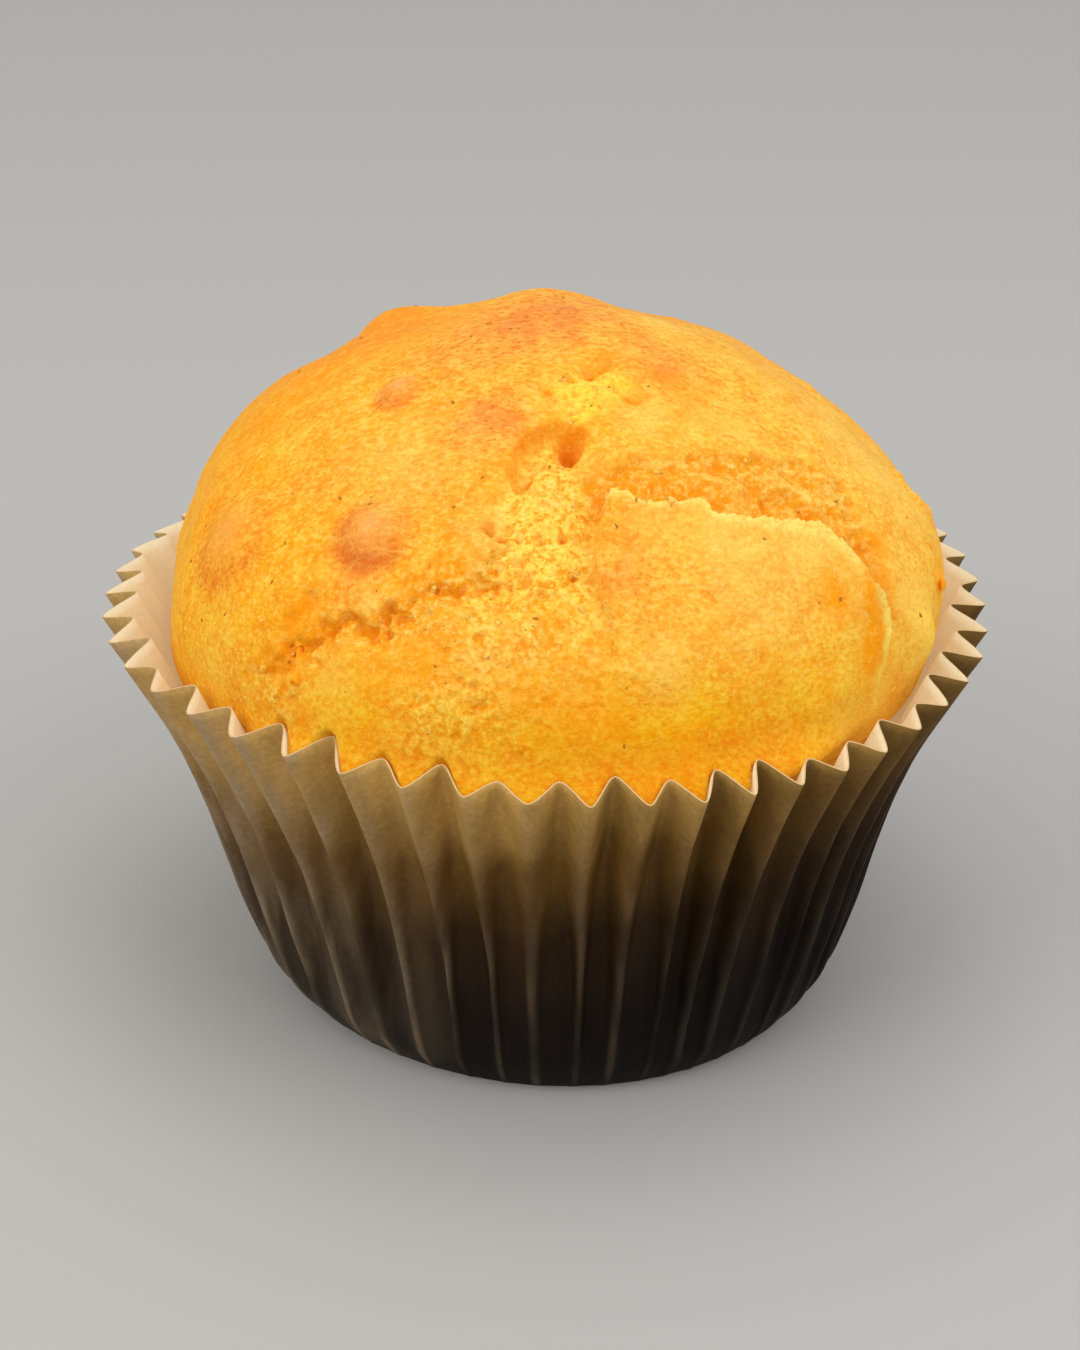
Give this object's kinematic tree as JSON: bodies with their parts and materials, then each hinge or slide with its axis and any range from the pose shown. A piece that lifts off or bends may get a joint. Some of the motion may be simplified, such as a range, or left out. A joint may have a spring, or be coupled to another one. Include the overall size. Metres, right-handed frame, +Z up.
{
  "type": "carrot muffin in a paper case",
  "caption": "Domed carrot muffin with a split golden crust, baked in a pleated paper case; stands on its flat base.",
  "frame": {"origin": "middle of the flat base that the muffin stands on", "axes": "+Z up, +X to the right and -Y to the front, where the crust has split"},
  "size_m": [0.076, 0.0761, 0.0606],
  "materials": {
    "baked_crumb": "matte",
    "baking_paper": "matte"
  },
  "bodies": {
    "root": {"muffin": "baked_crumb", "paper_case": "baking_paper"}
  },
  "joints": []
}
